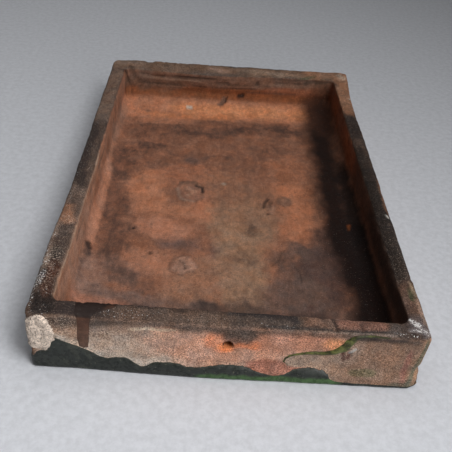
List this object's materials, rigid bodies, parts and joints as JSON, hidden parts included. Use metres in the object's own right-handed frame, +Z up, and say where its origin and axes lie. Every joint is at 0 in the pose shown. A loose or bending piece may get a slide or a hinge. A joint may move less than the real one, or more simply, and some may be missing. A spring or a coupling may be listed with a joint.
{
  "type": "stove tile",
  "caption": "Rectangular fired clay stove tile with a glazed moulded face and a hollow walled back, pierced for a tie wire, lying on its face.",
  "frame": {"origin": "under the middle of the tile, on the plane that its face's border lies on", "axes": "+X across the tile, to the right seen from the end with the wire hole; +Y along the tile, away from that end; +Z up, from the glazed face to the rim of the hollow back"},
  "size_m": [0.213, 0.34, 0.04],
  "materials": {
    "fired_clay": "rough fired red-brown clay, sooty inside and along the rim, with dark green glaze on the face and the foot of the walls"
  },
  "bodies": {
    "root": {"tile": "fired_clay"}
  },
  "joints": []
}
